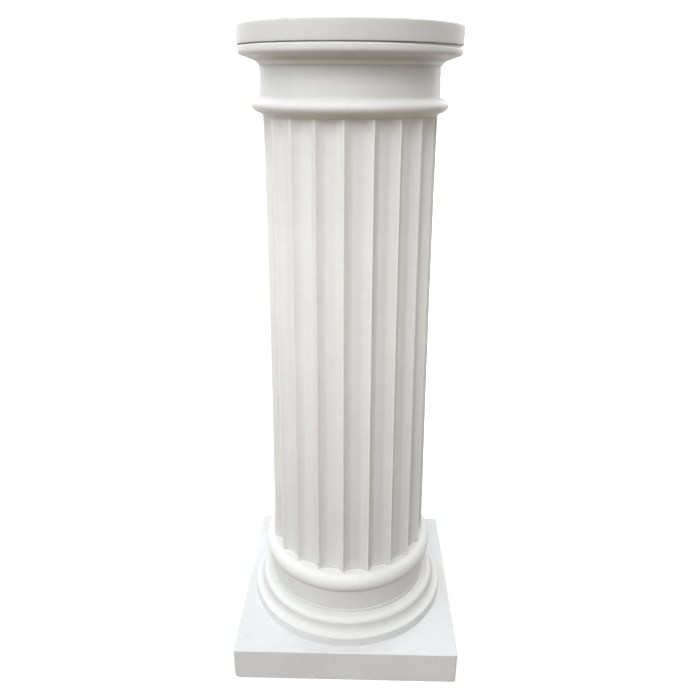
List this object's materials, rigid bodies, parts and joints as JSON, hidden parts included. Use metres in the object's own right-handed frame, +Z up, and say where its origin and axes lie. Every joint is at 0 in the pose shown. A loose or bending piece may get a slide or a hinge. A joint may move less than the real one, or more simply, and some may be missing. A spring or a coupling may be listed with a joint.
{
  "type": "doric column pedestal",
  "caption": "Free-standing Doric column pedestal: square plinth, round base moulding, fluted tapering shaft, capital with bead, neck and ring, and a flat round top.",
  "frame": {"origin": "middle of the plinth's underside", "axes": "+Z up along the column's axis, -Y out of the plinth's front, +X to the right seen from the front"},
  "size_m": [0.384, 0.384, 1.04],
  "materials": {
    "plaster_paint": "matt off-white paint over cast plaster",
    "plinth_paint": "matt off-white paint brushed on a board plinth"
  },
  "bodies": {
    "root": {"plinth": "plinth_paint", "base": "plaster_paint", "shaft": "plaster_paint", "capital": "plaster_paint", "top_disc": "plaster_paint"}
  },
  "joints": []
}
